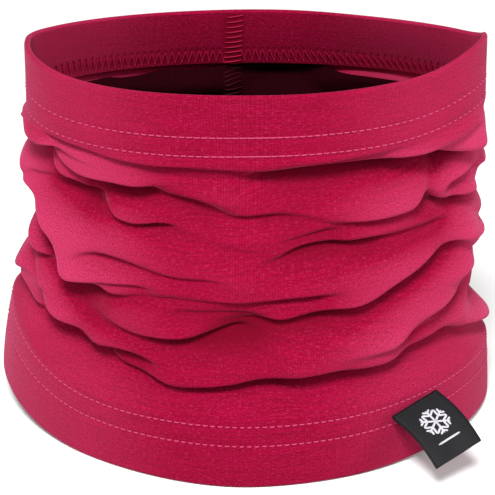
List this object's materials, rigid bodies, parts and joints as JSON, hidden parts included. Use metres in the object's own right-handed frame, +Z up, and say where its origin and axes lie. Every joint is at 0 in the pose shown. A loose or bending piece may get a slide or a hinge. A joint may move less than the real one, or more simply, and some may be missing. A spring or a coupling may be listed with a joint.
{
  "type": "neck gaiter",
  "caption": "Soft knitted tube worn round the neck, with a gathered wall between two stitched hems and a small folded tab.",
  "frame": {"origin": "middle of the whole piece's box, tab included, at the plane that the lower hem stands on", "axes": "+Z up through the neck opening, +X across the neck, the tab is on the front right, so the front faces -Y"},
  "size_m": [0.188, 0.1428, 0.138],
  "materials": {
    "wool_knit": "fine matt jersey knit, crimson",
    "sewing_thread": "soft spun thread, pink crimson",
    "tab_weave": "tight black satin ribbon",
    "tab_emblem": "light grey embroidery thread"
  },
  "bodies": {
    "lower": {"lower_hem": "wool_knit", "gathered_wall": "wool_knit", "lower_hem_needle_row_edge": "sewing_thread", "lower_hem_needle_row_wall": "sewing_thread", "lower_hem_looper_band": "sewing_thread", "back_seam_lower_hem": "sewing_thread", "back_seam_wall": "sewing_thread"},
    "upper": {"upper_hem": "wool_knit", "upper_hem_needle_row_edge": "sewing_thread", "upper_hem_needle_row_wall": "sewing_thread", "upper_hem_looper_band": "sewing_thread", "back_seam_upper_hem": "sewing_thread"},
    "tab": {"label_tab": "tab_weave", "label_tack_row": "tab_weave", "label_emblem": "tab_emblem"}
  },
  "joints": [
    {"name": "pull_up", "type": "slide", "parent": "lower", "child": "upper", "axis": [0, 0, 1], "range_m": [0, 0.075], "deforming": ["gathered_wall", "back_seam_wall"]},
    {"name": "tab_flap", "type": "hinge", "parent": "lower", "child": "tab", "pos_m": [0.05936, -0.04774, 0.0222], "axis": [-0.8109, -0.5329, -0.2419], "range_deg": [-45, 75]}
  ]
}
